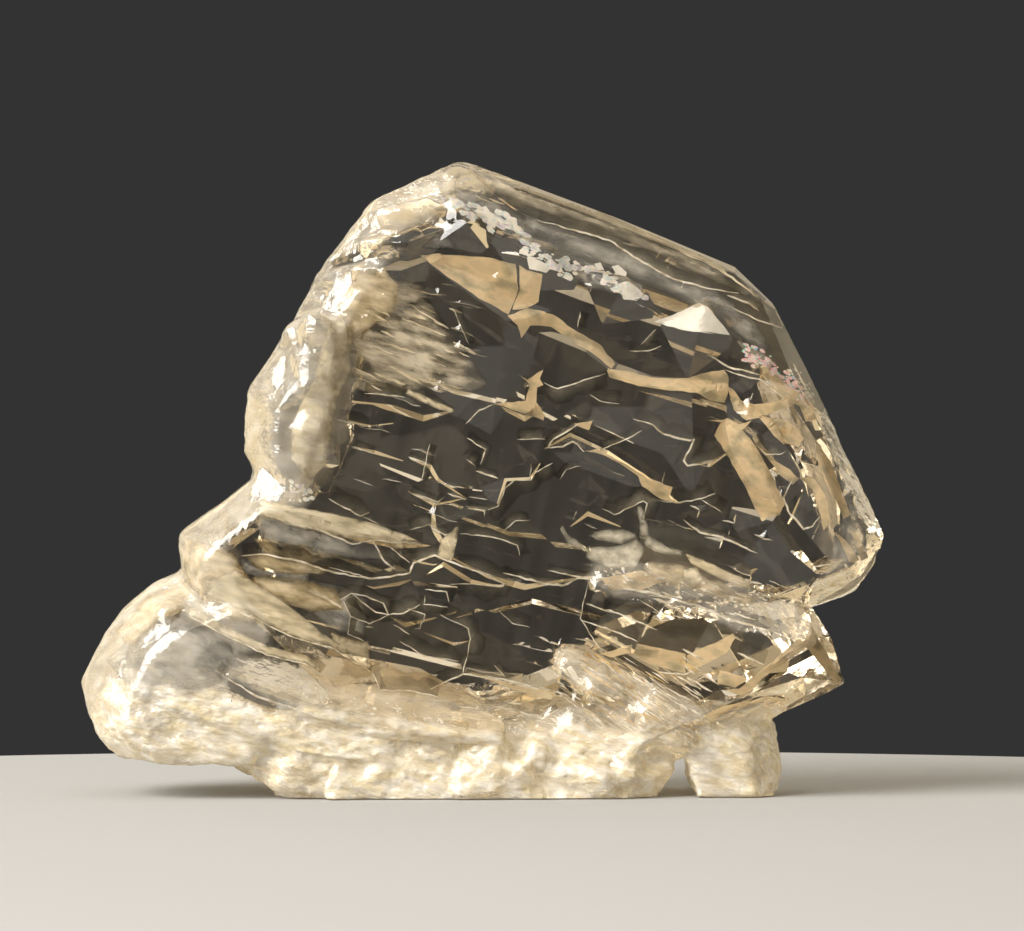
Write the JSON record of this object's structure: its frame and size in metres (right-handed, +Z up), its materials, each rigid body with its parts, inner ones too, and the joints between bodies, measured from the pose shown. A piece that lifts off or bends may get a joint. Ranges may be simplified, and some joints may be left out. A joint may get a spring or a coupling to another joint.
{
  "type": "quartz crystal",
  "caption": "Clear tabular quartz crystal grown together with smaller blades, with stepped faces and a rough crust at its foot, cut flat to stand on.",
  "frame": {"origin": "under the middle of the crystal's bounding box, in the plane of its flat cut base", "axes": "+Z up, away from the cut base; +X to the right along the broad face; the broad front face looks along -Y"},
  "size_m": [0.064, 0.021, 0.0507],
  "materials": {
    "quartz": "clear natural rock crystal with frosted, stepped and crusted parts"
  },
  "bodies": {
    "root": {"quartz_crystal": "quartz"}
  },
  "joints": []
}
